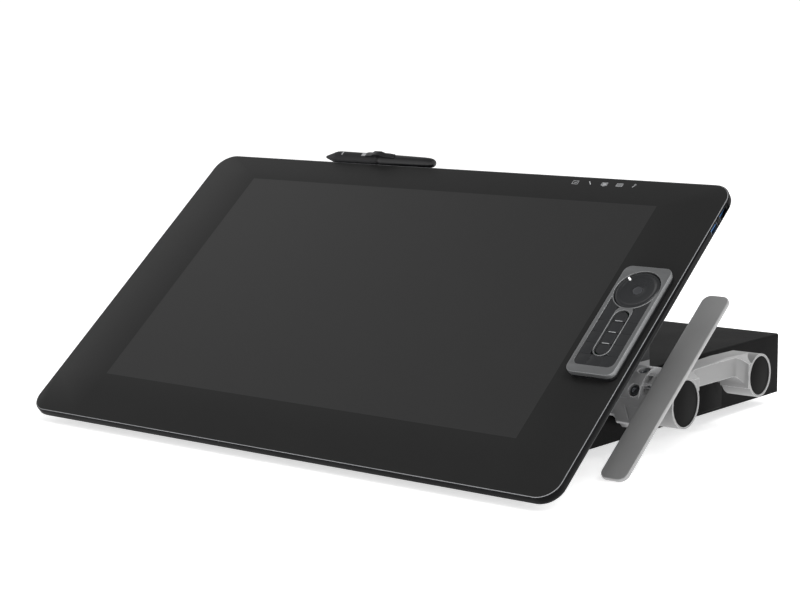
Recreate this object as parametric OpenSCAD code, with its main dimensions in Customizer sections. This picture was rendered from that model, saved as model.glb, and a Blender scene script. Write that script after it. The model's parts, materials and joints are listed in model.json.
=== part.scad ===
// Pen display on a two-arm easel stand, with a clip-on key remote and a pen in its tray.
// Millimetres, +Z up. Origin: on the table, under the middle of the whole object.
// The glass faces -Y and up; +X is the right-hand side for a person at the screen.

/* [Display] */
// Width of the glass
glass_w = 677; // [640:1:700]
// Height of the glass, measured up its slope
glass_h = 394; // [380:1:410]
// Corner radius of the glass
glass_r = 21.5; // [12:0.5:26]
// Thickness of the cover glass
glass_t = 2; // [1.5:0.1:3]
// Width of the picture area
picture_w = 522; // [500:1:530]
// Height of the picture area
picture_h = 294; // [280:1:300]
// Height of the picture's lower edge above the glass' lower edge
picture_v = 60; // [50:1:64]
// Depth of the flat side wall behind the glass
rim_depth = 8; // [7.6:0.1:10]
// Wall thickness of the mid frame
rim_wall = 3.2; // [2.5:0.1:4]
// Greatest depth of the display, glass to rear plateau
body_depth = 47; // [44:1:48]
// Wall thickness of the rear cover
cover_wall = 2.5; // [2:0.1:3]
// Slope of the glass from the table
tilt_deg = 39.3; // [35:0.1:42]

/* [Stand] */
// Width of the base box
base_w = 494; // [480:1:494]
// Front face of the base box
base_front = -89; // [-92:1:-85]
// Rear face of the base box
base_rear = 282; // [270:1:290]
// Top of the base box above the table
base_top = 77; // [75:0.5:77]
// Distance from the middle to the outer end of each arm
arm_outer = 320; // [318:0.5:322]
// Distance from the middle to the inner face of each arm
arm_inner = 287.5; // [287.5:0.5:288]
// Distance from the middle to the beam's outer face
beam_outer = 309; // [305:0.5:311]
// Tilt axis, along the depth
tilt_y = -33; // [-34:0.5:-32]
// Tilt axis, above the table
tilt_z = 57; // [56:0.5:58]
// Lift axis, along the depth
lift_y = 109.5; // [108:0.5:111]
// Lift axis, above the table
lift_z = 63.6; // [63:0.1:64]
// Outer radius of the arm's front barrel
front_r = 24.7; // [24:0.1:24.8]
// Outer radius of the arm's rear barrel
rear_r = 22; // [21.5:0.1:22.5]
// Radius of the tilt shaft
shaft_r = 12; // [10:0.5:13]
// Radius of the lift axle
axle_r = 7; // [6:0.5:7.5]
// Radial running clearance of shafts and pins
run_gap = 0.05; // [0.02:0.01:0.1]
// Radius of the hinge clamp on the tilt shaft
clamp_r = 31.6; // [30:0.1:32]

/* [Tilt head] */
// Height of the turntable's centre up the glass
turn_v = 225; // [220:1:230]
// Radius of the turntable disc
turn_r = 60; // [50:1:64]
// Radius of the spigot that the display turns on
spigot_r = 25; // [20:0.5:26]

/* [Release levers] */
// Length of each lever
lever_len = 239; // [210:1:240]
// Width of each lever's paddle
lever_w = 29.6; // [26:0.1:30]
// Thickness of each lever's paddle
lever_t = 4.4; // [4:0.1:5]
// Radius of the lever pin
pin_r = 1.2; // [1:0.1:1.3]

/* [Remote] */
// Width of the key remote
remote_w = 52; // [51:0.5:53]
// Length of the key remote
remote_h = 134.5; // [133:0.5:136]
// Height of the key remote above the glass
remote_t = 10; // [9:0.5:11]
// Remote's centre, to the right of the middle
remote_u = 307.2; // [306:0.1:309]
// Remote's centre, up the glass
remote_v = 203.5; // [198:0.5:210]
// Radius of the touch ring's opening
ring_r = 23.3; // [22:0.1:23.5]

/* [Pen] */
// Length of the pen
pen_len = 155; // [154:1:158]
// Pen tip, to the left of the middle
pen_u = -188; // [-192:1:-182]
// Pen axis, up the glass
pen_v = 402; // [401.5:0.1:403]
// Pen axis, above the glass
pen_n = -1.8; // [-3:0.1:-1]

/* [Hidden] */
$fn = 64;
eps = 0.01;

// Tilt axis as seen from the display: how far up the glass, and how far behind it
axis_v = 220.4;
axis_n = -123.9;

// Glass and frame
glass_inset = 0.8;
frame_top = -0.6;
cover_top = -rim_depth;
board_n = -14;

// Tilt head
plate_n = -body_depth;
mount_t = 3.5;
turn_n = -50.9;
bracket_n = -58;
bracket_t = 6;
beam_low_v = 236;
beam_high_v = 290;
beam_n = -75;
head_inner = 250;
clamp_inner = 262;
clamp_outer = 286.5;
head_outer = 262;

// Levers
lever_top = -93;
lever_under = lever_top - lever_t;
lever_in = 297;
lever_up = 115;
lever_corner = 9;
lever_toe = 1.1;
pin_x = 293.5;
pin_n = -96.4;
pin_barrel_r = 2.2;
hinge_len = 9;
hinge_v = axis_v - hinge_len / 2;
ear_len = 3.2;
ear_gap = 0.25;
ear_r = 30.1;
ear_bore = 25.2;
ear_outer = 296.7;

// Arms: the front axis sits in front of and below the rear one
link_y = lift_y - tilt_y;
link_z = lift_z - tilt_z;
bush_wall = 4;
disc_gap = 0.1;
disc_t = 3.4;
disc_recess = 4;
front_rim = 2;
rear_rim = 2.2;

// Base
base_wall = 3;
foot_h = 12;
foot_r = 13;
foot_x = 180;
foot_rows = [-22, 97, 220];
base_r = 3;
lug_t = 15;
neck_r = 12;

// Remote, from its own centre
dial_y = 38.2;
pad_half = 21.7;
pad_low = -57.7;
pad_r = 6.5;
pill_w = 16.4;
pill_low = -44.5;
pill_high = 11.6;
ridge = 1.1;
key_gap = 0.15;
pill_gap = 1.6;
key_top = 9.7;
pill_key_top = 9.3;
key_low = 5.4;
key_pitch = 14;
row_end = -2.4;
pad_row = row_end - 3 * key_pitch;
board_t = 1.2;

// ---------- helpers ----------
module plate(w, d, h, r) {
    // A plate with round vertical corners, centred in X and Y
    for (x = [-1, 1]) for (y = [-1, 1])
        translate([x * (w / 2 - r), y * (d / 2 - r), 0]) cylinder(r = r, h = h);
    translate([-w / 2, -d / 2 + r, 0]) cube([w, d - 2 * r, h]);
    translate([-w / 2 + r, -d / 2, 0]) cube([w - 2 * r, d, h]);
}

module box_from(a, b) {
    // A block from one corner to the opposite one
    translate(a) cube(b - a);
}

module on_glass() {
    // Local X across the glass, Y up its slope from the lower edge, Z out of it
    translate([0, tilt_y, tilt_z]) rotate([tilt_deg, 0, 0])
        translate([0, -axis_v, -axis_n]) children();
}

module on_lever() {
    // The levers lie a little flatter than the glass
    on_glass() translate([0, axis_v, axis_n]) rotate([-lever_toe, 0, 0])
        translate([0, -axis_v, -axis_n]) children();
}

module on_remote() {
    on_glass() translate([remote_u, remote_v, 0]) children();
}

module on_pen() {
    // Local Z runs along the pen from its tip
    on_glass() translate([pen_u, pen_v, pen_n]) rotate([0, 90, 0]) children();
}

module both_sides() {
    for (s = [0, 1]) mirror([s, 0, 0]) children();
}

module across(x0, x1, r) {
    // A round bar along X
    translate([x0, 0, 0]) rotate([0, 90, 0]) cylinder(r = r, h = x1 - x0);
}

module glass_layer(inset, n0, n1) {
    translate([0, glass_h / 2, n0])
        plate(glass_w - 2 * inset, glass_h - 2 * inset, n1 - n0, glass_r - min(inset, 12));
}

module cap_screw(r, len) {
    // Socket-head screw along -Z, its head's underside at Z = 0
    difference() {
        union() {
            cylinder(r = 1.65 * r, h = 2 * r);
            translate([0, 0, -len]) cylinder(r = r, h = len + eps);
        }
        translate([0, 0, r]) cylinder(r = 0.95 * r, h = 2 * r, $fn = 6);
    }
}

// ---------- display ----------
module cover_glass() {
    color("#2c2d2f") on_glass() glass_layer(glass_inset, -glass_t, 0);
}

usb_v = [340, 360];
usb_w = 13.4;
usb_h = 5.6;
usb_n = -5;
power_u = 250;
power_w = 14;
power_h = 3.6;
power_n = -4.4;

module mid_frame() {
    color("#1f2022") on_glass() difference() {
        glass_layer(0, cover_top, frame_top);
        glass_layer(rim_wall, cover_top - 1, 1);
        glass_layer(glass_inset, -glass_t, 1);
        for (v = usb_v) translate([glass_w / 2 - rim_wall - 1, v - usb_w / 2, usb_n - usb_h / 2])
            cube([rim_wall + 2, usb_w, usb_h]);
        translate([power_u - power_w / 2, glass_h - rim_wall - 1, power_n - power_h / 2])
            cube([power_w, rim_wall + 2, power_h]);
    }
}

// Slabs of the tapered back: how far in from the glass edge, height behind the glass
cover_slabs = [[1, -10], [9, -15.5], [26, -25], [58, -37.5], [84, -44.5]];
plateau_inset = 96;

module cover_form(shrink) {
    // Tapered back: wide at the rim, a flat plateau in the middle
    hull() {
        for (s = cover_slabs) glass_layer(s[0] + shrink, s[1] + shrink, s[1] + shrink + 2);
        translate([0, glass_h / 2, -body_depth + shrink])
            plate(glass_w - 2 * (plateau_inset + shrink), glass_h - 2 * (plateau_inset + shrink),
                  4, 12);
    }
}

port_u = -150;
port_v = 108;
port_w = 92;
port_h = 18;
screw_uv = [[-230, 120], [230, 120], [-230, 276], [230, 276], [-60, 110], [60, 110]];

module rear_cover() {
    color("#242528") on_glass() difference() {
        cover_form(0);
        difference() {
            cover_form(cover_wall);
            translate([0, turn_v, -body_depth]) plate(250, 130, cover_wall + 1.5, 8);
        }
        translate([port_u - port_w / 2, port_v - port_h / 2, -body_depth - 1])
            cube([port_w, port_h, 12]);
        for (side = [-1, 1]) for (i = [0:13])
            translate([side * 120 + (i - 6.5) * 9, 318, -60]) plate(3, 34, 50, 1.4);
        for (p = screw_uv) translate([p[0], p[1], -body_depth - 1]) cylinder(r = 2, h = 12);
        mount_holes() translate([0, 0, -body_depth - 1]) cylinder(r = 2, h = 12);
    }
}

module lcd_panel() {
    color("#101114") on_glass() translate([0, picture_v + picture_h / 2, -7.4])
        plate(picture_w + 14, picture_h + 14, 5.2, 2);
}

module sensor_board() {
    color("#3b5d3b") on_glass() translate([0, picture_v + picture_h / 2, -9.4])
        plate(picture_w + 6, picture_h + 6, 1.6, 2);
}

module main_board() {
    color("#2f6b45") on_glass() {
        translate([-90, 190, board_n - 4]) plate(220, 150, 1.6, 3);
        for (x = [-160, -110, -60]) translate([x, 200, board_n - 6.2]) plate(28, 28, 2.3, 1);
        translate([-90, 140, board_n - 9]) plate(60, 20, 5.1, 1);
    }
}

module power_button() {
    color("#3a3b3e") on_glass() difference() {
        translate([power_u, glass_h - 1.4, power_n - power_h / 2 + 0.25])
            plate(power_w - 0.6, 4.4, power_h - 0.5, 0.8);
        translate([power_u, glass_h + 0.8, power_n]) rotate([-90, 0, 0])
            cylinder(r = 0.7, h = 1);
    }
}

module usb_ports() {
    color("#9a9da2") on_glass() for (v = usb_v) difference() {
        translate([glass_w / 2 - 15, v - usb_w / 2, usb_n - usb_h / 2])
            cube([14.6, usb_w, usb_h]);
        translate([glass_w / 2 - 14, v - 6.25, usb_n - 2.4]) cube([15, 12.5, 4.8]);
    }
}

// Socket mouths in the port panel: place along the panel, width, height
sockets = [[-30, 15.5, 5.4], [-2, 9.6, 4], [24, 9.6, 4]];

module port_panel() {
    color("#17181a") on_glass() translate([port_u, port_v, -body_depth]) difference() {
        translate([-port_w / 2, -port_h / 2, 0]) cube([port_w, port_h, 10]);
        for (s = sockets) translate([s[0] - s[1] / 2, -s[2] / 2, -1]) cube([s[1], s[2], 9]);
    }
}

module pan_screw(len) {
    // Flat-headed hex screw along +Z, its head's underside at Z = 0
    difference() {
        union() {
            translate([0, 0, -1.2]) cylinder(r = 3.4, h = 1.2);
            cylinder(r = 2, h = len);
        }
        translate([0, 0, -1.3]) cylinder(r = 1.1, h = 0.9, $fn = 6);
    }
}

module display_screws() {
    color("#55585d") on_glass() {
        for (p = screw_uv) translate([p[0], p[1], -body_depth]) pan_screw(14);
        mount_holes() translate([0, 0, -body_depth - mount_t]) pan_screw(mount_t + 3.8);
    }
}

module rear_feet() {
    color("#151515") on_glass() for (u = [-175, 175]) for (v = [132, 262])
        translate([u, v, -body_depth - 3]) difference() {
            cylinder(r = 10, h = 3);
            translate([0, 0, -1]) cylinder(r = 6, h = 1.6);
        }
}

tray_len = 128;
tray_u = -172;

module pen_tray() {
    color("#141516") on_glass() difference() {
        translate([tray_u, glass_h, -11.4]) cube([tray_len, 17, 7.4]);
        translate([tray_u - 1, pen_v, pen_n]) rotate([0, 90, 0])
            cylinder(r = 8.0, h = tray_len + 2);
        translate([tray_u - 1, glass_h + 16.2, -15]) rotate([35, 0, 0])
            cube([tray_len + 2, 10, 20]);
    }
}

module mount_holes() {
    for (x = [-100, 100]) for (y = [-50, 50]) translate([x, turn_v + y, 0]) children();
}

module mount_plate() {
    color("#5b5e63") on_glass() difference() {
        translate([0, turn_v, 0]) {
            translate([0, 0, plate_n - mount_t]) plate(230, 130, mount_t, 10);
            translate([0, 0, bracket_n + 0.6]) cylinder(r = spigot_r, h = 10);
        }
        translate([0, turn_v, -70]) cylinder(r = 15, h = 30);
        mount_holes() translate([0, 0, -70]) cylinder(r = 2, h = 30);
    }
}

// ---------- tilt head ----------
module turntable() {
    color("#34363a") on_glass() translate([0, turn_v, bracket_n]) difference() {
        cylinder(r = turn_r, h = turn_n - bracket_n);
        translate([0, 0, -1]) cylinder(r = spigot_r + run_gap, h = 12);
        for (a = [45:90:315]) rotate(a) translate([46, 0, -1]) cylinder(r = 3.2, h = 12);
    }
}

module tilt_bracket() {
    beam_d = beam_high_v - beam_low_v;
    color("#8f9297") on_glass() difference() {
        union() {
            translate([-head_inner, beam_low_v, bracket_n - bracket_t])
                cube([2 * head_inner, beam_d, bracket_t]);
            for (v = [beam_low_v, beam_high_v - 6])
                translate([-head_inner, v, beam_n]) cube([2 * head_inner, 6, 12]);
            translate([0, turn_v, bracket_n - bracket_t]) plate(150, 126, bracket_t, 24);
            for (x = [-150, -75, 72, 147])
                translate([x, beam_low_v + 1, beam_n + 3]) cube([4, beam_d - 2, 9]);
        }
        translate([0, turn_v, -90]) cylinder(r = 20, h = 40);
        for (a = [45:90:315]) translate([0, turn_v, -90]) rotate(a)
            translate([46, 0, 0]) cylinder(r = 3.2, h = 40);
    }
}

// Side plate outline, from the tilt axis: up the glass, out of it
side_outline = [
    [69.6, 65.9], [15.6, 65.9], [-14, 34], [-42.5, 27], [-42.5, 21], [-28, 10],
    [-22, -22], [10, -30], [31, -6], [69.6, 46],
];

// Skirt under the clamp: across, up the glass from the tilt axis
skirt_out = 296.5;
skirt_outline = [
    [head_outer - 0.01, -42.5], [270, -42.5], [276, -50.5], [skirt_out, -50.5],
    [skirt_out, -14], [head_outer - 0.01, -14],
];
skirt_n = [21, 24.3];
mark_outline = [[274.5, -29.5], [292, -29.5], [292, -31], [277.4, -31],
                [289, -45.6], [287.6, -46.6]];

module side_plates() {
    color("#a3a6ab") both_sides() on_glass() translate([0, axis_v, axis_n]) difference() {
        union() {
            translate([head_inner, 0, 0]) rotate([90, 0, 90])
                linear_extrude(head_outer - head_inner) polygon(side_outline);
            difference() {
                translate([0, 0, skirt_n[0]])
                    linear_extrude(skirt_n[1] - skirt_n[0]) polygon(skirt_outline);
                across(head_outer - 1, clamp_outer + 0.3, clamp_r + 0.15);
                across(clamp_outer, skirt_out + 1, front_r + 1.2);
            }
        }
        translate([head_inner - 1, 0, 0]) rotate([0, 90, 0])
            cylinder(r = shaft_r, h = 20);
        translate([0, 0, skirt_n[1] - 0.8]) linear_extrude(2) polygon(mark_outline);
    }
}

// Clamp screws: angle round the shaft from up-the-glass, seat and thread sizes
screw_angles = [69, 116];
seat_r = 6;
seat_depth = 7.4;
clamp_thread_r = 2.8;

module screw_seat(a) {
    translate([(clamp_inner + clamp_outer) / 2 + 5, 0, 0]) rotate([a - 90, 0, 0])
        translate([0, 0, clamp_r - seat_depth]) children();
}

module clamp_half_space() {
    // Everything higher than a level plane under the shaft, seen from the head
    rotate([-tilt_deg, 0, 0])
        box_from([clamp_inner - 1, -60, -front_r], [lever_in, 60, 60]);
}

module hinge_clamps() {
    color("#a0a3a8") both_sides() on_glass() translate([0, axis_v, axis_n]) difference() {
        union() {
            intersection() {
                across(clamp_inner, clamp_outer, clamp_r);
                clamp_half_space();
            }
            // Ears for the lever pin, rounded like the clamp
            for (side = [-1, 1]) rotate([-lever_toe, 0, 0]) intersection() {
                across(clamp_outer - 1, ear_outer, ear_r);
                translate([0, side * (hinge_len / 2 + ear_gap + ear_len / 2), 0])
                    box_from([0, -ear_len / 2, 0], [lever_in, ear_len / 2, 40]);
            }
        }
        across(clamp_inner - 1, clamp_outer, shaft_r);
        across(clamp_outer, ear_outer + 1, ear_bore);
        for (a = screw_angles) screw_seat(a) {
            cylinder(r = seat_r, h = 20);
            translate([0, 0, -12]) cylinder(r = clamp_thread_r, h = 13);
        }
        rotate([-lever_toe, 0, 0]) translate([pin_x, -hinge_len, pin_n - axis_n])
            rotate([-90, 0, 0]) cylinder(r = pin_r, h = 2 * hinge_len);
        // The slit that lets the clamp close on its shaft
        box_from([clamp_inner - 1, -50, -1], [clamp_outer + 1, -shaft_r + 2, 1]);
    }
}

module clamp_screws() {
    color("#6c6f74") both_sides() on_glass() translate([0, axis_v, axis_n])
        for (a = screw_angles) screw_seat(a) cap_screw(clamp_thread_r, 11.5);
}

module tilt_shafts() {
    color("#777a7f") both_sides() translate([0, tilt_y, tilt_z]) difference() {
        across(head_inner, 314, shaft_r);
        across(head_inner - 1, head_inner + 8, 5);
        across(300, 315, 5);
    }
}

module lever_pins() {
    color("#777a7f") both_sides() on_lever()
        translate([pin_x, hinge_v - ear_gap - ear_len, pin_n]) rotate([-90, 0, 0])
            cylinder(r = pin_r, h = hinge_len + 2 * (ear_gap + ear_len));
}

module lever_body() {
    on_lever() difference() {
        union() {
            // Paddle with round ends
            translate([lever_in + lever_w / 2, axis_v + lever_up - lever_len / 2, lever_under])
                plate(lever_w, lever_len, lever_t, lever_corner);
            box_from([pin_x, hinge_v, pin_n - 0.5],
                     [lever_in + 3, hinge_v + hinge_len, pin_n + 2]);
            translate([pin_x, hinge_v, pin_n]) rotate([-90, 0, 0])
                cylinder(r = pin_barrel_r, h = hinge_len);
        }
        translate([pin_x, hinge_v - 1, pin_n]) rotate([-90, 0, 0])
            cylinder(r = pin_r + run_gap, h = hinge_len + 2);
    }
}

module release_lever_right() { color("#7c7f83") lever_body(); }

module release_lever_left() { color("#7c7f83") mirror([1, 0, 0]) lever_body(); }

// ---------- arms ----------
// Beam seen from the side, from the tilt axis: along the depth, up
beam_outline = [
    [12, 9], [link_y - 34, 9], [link_y - 29.5, 8.1], [link_y - 26, 5.6], [link_y - 23.2, 1.5],
    [link_y - 21.9, -4], [link_y, link_z - 8], [link_y, link_z + rear_r],
    [100, 29.2], [30, 26.8], [4, front_r - 0.4], [0, 12],
];
// Beam seen from above: fillets run its outer face out to both barrels' ends
fillet_r = 10;
end_gap = 0.2;
beam_plan = concat(
    [[arm_inner, -30], [arm_outer - end_gap, -30]],
    [for (a = [90:-15:0]) [beam_outer + (arm_outer - end_gap - beam_outer) * (1 - cos(a)),
                           front_r + fillet_r * (1 - sin(a))]],
    [for (a = [0:15:90]) [beam_outer + (arm_outer - end_gap - beam_outer) * (1 - cos(a)),
                          link_y - rear_r - fillet_r * (1 - sin(a))]],
    [[arm_outer - end_gap, link_y + 30], [arm_inner, link_y + 30]]);
bevel_low = 22;
bevel_high = 32;

module arm_body() {
    translate([0, tilt_y, tilt_z]) difference() {
        union() {
            across(arm_inner, arm_outer, front_r);
            translate([0, link_y, link_z]) across(arm_inner, arm_outer, rear_r);
            translate([0, link_y, link_z]) across(clamp_inner + 0.5, arm_inner + 1, neck_r);
            intersection() {
                translate([arm_inner, 0, 0]) rotate([90, 0, 90])
                    linear_extrude(arm_outer - arm_inner) polygon(beam_outline);
                translate([0, 0, -30]) linear_extrude(80) polygon(beam_plan);
                // Slope along the beam's upper outer edge
                translate([arm_inner, -30, 0]) rotate([90, 0, 0]) mirror([0, 0, 1])
                    linear_extrude(260) polygon([
                        [-1, -40], [40, -40], [40, 18.6], [30, bevel_low],
                        [15, bevel_high], [-1, bevel_high]]);
            }
        }
        // Front barrel: bush seat, brake chamber, disc recess
        across(arm_inner - 1, arm_outer + 1, shaft_r + bush_wall);
        across(304, arm_outer + 1, 19);
        across(arm_outer - disc_recess, arm_outer + 1, front_r - front_rim);
        // Rear barrel: bush seat, spring chamber, disc recess
        translate([0, link_y, link_z]) {
            across(clamp_inner, arm_outer + 1, axle_r + run_gap);
            across(arm_inner, arm_outer + 1, axle_r + bush_wall);
            across(300, arm_outer + 1, 16);
            across(arm_outer - disc_recess, arm_outer + 1, rear_r - rear_rim);
        }
    }
}

module arm_right() { color("#a8abaf") arm_body(); }

module arm_left() { color("#a8abaf") mirror([1, 0, 0]) arm_body(); }

module arm_end_discs() {
    color("#222326") both_sides() translate([0, tilt_y, tilt_z]) {
        across(arm_outer - disc_recess, arm_outer - disc_recess + disc_t,
               front_r - front_rim - disc_gap);
        translate([0, link_y, link_z])
            across(arm_outer - disc_recess, arm_outer - disc_recess + disc_t,
                   rear_r - rear_rim - disc_gap);
    }
}

module bush(x0, x1, r) {
    difference() {
        across(x0, x1, r + bush_wall);
        across(x0 - 1, x1 + 1, r + run_gap);
    }
}

module arm_bushes() {
    color("#c9a25a") both_sides() translate([0, tilt_y, tilt_z]) {
        bush(arm_inner, 304, shaft_r);
        translate([0, link_y, link_z]) bush(arm_inner, 300, axle_r);
    }
}

module brake_discs() {
    color("#8a8173") both_sides() translate([0, tilt_y, tilt_z])
        for (i = [0:3]) translate([304.4 + i * 2.6, 0, 0]) difference() {
            across(0, 2, 18.9);
            across(-1, 3, shaft_r + run_gap);
        }
}

// ---------- base ----------
base_d = base_rear - base_front;
base_mid = (base_rear + base_front) / 2;
plate_t = 3;
plate_screw_r = 2.2;
plate_screw_len = 9;
plate_screws = [[-220, -70], [220, -70], [-220, 262], [220, 262], [0, -70], [0, 262]];

// Lug bolts and the weight's uprights that they pass through
bolt_y = [-17, 17];
bolt_z = [lift_z - 33.6, lift_z - 13.6];
bolt_r = 3;
bolt_len = 20;
upright_in = 237;
upright_out = 243.6;
upright_half = 30;
slab_w = 360;
slab_d = 210;
slab_t = 11;
slab_y = 120;

module base_cover() {
    color("#2b2b2d") translate([0, base_mid, 0]) difference() {
        translate([0, 0, foot_h]) plate(base_w, base_d, base_top - foot_h, base_r);
        difference() {
            translate([0, 0, foot_h - 1])
                plate(base_w - 2 * base_wall, base_d - 2 * base_wall,
                      base_top - foot_h - base_wall + 1, 1);
            for (p = plate_screws) translate([p[0], p[1] - base_mid, foot_h + plate_t])
                cylinder(r = 5.5, h = base_top);
        }
        for (p = plate_screws) translate([p[0], p[1] - base_mid, 0])
            cylinder(r = plate_screw_r, h = foot_h + plate_screw_len);
        // Bolt holes for the lugs
        translate([0, lift_y - base_mid, 0]) for (y = bolt_y) for (z = bolt_z)
            translate([-base_w, y, z]) rotate([0, 90, 0])
                cylinder(r = bolt_r + run_gap, h = 2 * base_w);
    }
}

module base_plate() {
    color("#4a4c50") difference() {
        translate([0, base_mid, foot_h])
            plate(base_w - 2 * base_wall - 0.6, base_d - 2 * base_wall - 0.6, plate_t, 1);
        for (p = plate_screws) translate([p[0], p[1], 0])
            cylinder(r = plate_screw_r, h = foot_h + plate_t + 1);
    }
}

module counterweight() {
    // Steel slab with upturned ends that the lugs bolt to
    color("#5d5f63") difference() {
        union() {
            translate([0, slab_y, foot_h + plate_t]) plate(slab_w, slab_d, slab_t, 6);
            both_sides() {
                box_from([slab_w / 2 - 10, lift_y - upright_half, foot_h + plate_t],
                         [upright_out, lift_y + upright_half, foot_h + plate_t + 6]);
                box_from([upright_in, lift_y - upright_half, foot_h + plate_t],
                         [upright_out, lift_y + upright_half, base_top - 13]);
            }
        }
        for (y = bolt_y) for (z = bolt_z)
            translate([-base_w, lift_y + y, z]) rotate([0, 90, 0])
                cylinder(r = bolt_r + run_gap, h = 2 * base_w);
    }
}

module base_feet() {
    color("#1a1a1a") for (x = [-foot_x, foot_x]) for (y = foot_rows)
        translate([x, y, 0]) cylinder(r = foot_r, h = foot_h);
}

module base_screws() {
    color("#3c3e42") {
        for (p = plate_screws) translate([p[0], p[1], foot_h - 1]) {
            cylinder(r = 3.8, h = 1);
            cylinder(r = plate_screw_r, h = plate_screw_len);
        }
        // Lug bolts, from inside the base
        both_sides() for (y = bolt_y) for (z = bolt_z)
            translate([upright_in, lift_y + y, z]) rotate([0, -90, 0])
                cap_screw(bolt_r, bolt_len);
    }
}

module side_lugs() {
    // Blocks on the sides of the base that carry the lift axles
    color("#222326") both_sides() translate([base_w / 2, lift_y, 0]) difference() {
        union() {
            box_from([0, -25, lift_z - 43.6], [lug_t, 25, lift_z - 3.6]);
            translate([0, 0, lift_z]) intersection() {
                across(0, lug_t, 20);
                box_from([-1, -30, -12], [lug_t + 1, 30, 8]);
            }
        }
        translate([0, 0, lift_z]) across(-1, lug_t + 1, axle_r + run_gap);
        for (y = bolt_y) for (z = bolt_z) translate([0, y, z])
            across(-1, upright_in + bolt_len - base_w / 2 + 1, bolt_r + run_gap);
    }
}

module lift_axles() {
    color("#777a7f") both_sides() translate([base_w / 2, lift_y, lift_z])
        across(0, 314 - base_w / 2, axle_r);
}

spring_turns = 4.5;
spring_steps = 16;
spring_r = 11.5;
spring_wire = 1.3;

function coil_ring(i, x0, pitch) = [
    for (k = [0:5]) let (
        a = 360 * i / spring_steps, b = 60 * k,
        r = spring_r + spring_wire * cos(b)
    ) [x0 + pitch * i / spring_steps + spring_wire * sin(b), r * cos(a), r * sin(a)]
];

module coil(x0, pitch) {
    // A round-wire torsion spring round the X axis
    n = floor(spring_turns * spring_steps);
    pts = [for (i = [0:n]) each coil_ring(i, x0, pitch)];
    sides = [for (i = [0:n - 1]) for (k = [0:5])
        [6 * i + k, 6 * i + (k + 1) % 6, 6 * (i + 1) + (k + 1) % 6, 6 * (i + 1) + k]];
    caps = [[5, 4, 3, 2, 1, 0], [for (k = [0:5]) 6 * n + k]];
    polyhedron(points = pts, faces = concat(sides, caps), convexity = 8);
}

module lift_springs() {
    color("#b0b2b5") both_sides() translate([0, lift_y, lift_z]) coil(301.8, 2.75);
}

// ---------- remote ----------
module remote_case() {
    color("#141517") on_remote() difference() {
        plate(remote_w - 2, remote_h - 2, 5, 7);
        translate([0, 0, 1.2]) plate(remote_w - 6, remote_h - 6, 10, 5);
        translate([0, -remote_h / 2 - 1, 3]) rotate([-90, 0, 0]) plate(9, 2.6, 4, 1.2);
    }
}

module pill(w, y0, y1, h) {
    for (y = [y0 + w / 2, y1 - w / 2]) translate([0, y, 0]) cylinder(r = w / 2, h = h);
    translate([-w / 2, y0 + w / 2, 0]) cube([w, y1 - y0 - w, h]);
}

module pad_area(grow, h) {
    // The sunk area that the keys sit in, under the dial
    translate([0, (pad_low + dial_y) / 2, 0])
        plate(2 * (pad_half + grow), dial_y - pad_low + 2 * grow, h, pad_r);
}

module remote_frame() {
    color("#8d8f92") on_remote() translate([0, 0, 5]) difference() {
        union() {
            difference() {
                plate(remote_w, remote_h, remote_t - 5, 8);
                translate([0, 0, -1]) pad_area(0, 10);
            }
            translate([0, dial_y, 0]) cylinder(r = ring_r + ridge, h = remote_t - 5);
            pill(pill_w + 2 * ridge, pill_low - ridge, pill_high + 6, remote_t - 5);
        }
        translate([0, dial_y, -1]) cylinder(r = ring_r, h = 10);
        translate([0, 0, -1]) pill(pill_w, pill_low, pill_high, 10);
    }
}

module touch_ring() {
    color("#333437") on_remote() translate([0, dial_y, 5]) difference() {
        union() {
            cylinder(r = ring_r - 0.3, h = 2.6);
            difference() {
                cylinder(r = ring_r - 0.3, h = 4.4);
                translate([0, 0, 2]) cylinder(r = ring_r - 3.2, h = 4);
            }
            cylinder(r = ring_r - 5, h = 3.6);
        }
        translate([0, 0, -1]) cylinder(r = 5.2, h = 8);
    }
}

module ring_button() {
    color("#4d4e51") on_remote() translate([0, dial_y, 4.6]) {
        cylinder(r = 4.9, h = 4.2);
    }
}

module remote_board() {
    color("#2f6b45") on_remote() translate([0, 0, 2.6]) plate(44, 124, board_t, 3);
}

module remote_battery() {
    color("#9aa0a6") on_remote() translate([0, 0, 1.3]) plate(30, 60, 1.2, 0.6);
}

module centre_key(i) {
    // Centre column, i = 1 at the top
    step = (pill_high - pill_low) / 4;
    y1 = pill_high - (i - 1) * step;
    color("#3c3d40") on_remote() intersection() {
        translate([0, 0, key_low])
            pill(pill_w - 2 * pill_gap, pill_low + pill_gap, pill_high - pill_gap,
                 pill_key_top - key_low);
        box_from([-20, y1 - step + key_gap, 0], [20, y1 - key_gap, 20]);
    }
}

module side_key(i, side) {
    // Left (-1) and right (1) columns, i = 1 at the top
    y0 = row_end - (i - 1) * key_pitch;
    y1 = i == 1 ? dial_y - ring_r + 10 : y0 + key_pitch;
    x_in = pill_w / 2 + ridge + key_gap;
    color("#2f3033") on_remote() mirror([side < 0 ? 1 : 0, 0, 0]) difference() {
        box_from([x_in, y0 + key_gap, key_low], [pad_half - key_gap, y1 - key_gap, key_top]);
        translate([0, dial_y, 0]) cylinder(r = ring_r + ridge + key_gap, h = 20);
    }
}

module bottom_key(i) {
    // Row under the centre column, i = 1 at the left
    third = 2 * pad_half / 3;
    x0 = -pad_half + (i - 1) * third + key_gap;
    color("#2f3033") on_remote() difference() {
        intersection() {
            pad_area(-key_gap, key_top);
            box_from([x0, pad_low, key_low],
                     [x0 + third - 2 * key_gap, pad_row - key_gap, key_top]);
        }
        translate([0, 0, -1])
            pill(pill_w + 2 * (ridge + key_gap), pill_low - ridge - key_gap, pill_high, 30);
    }
}

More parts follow.
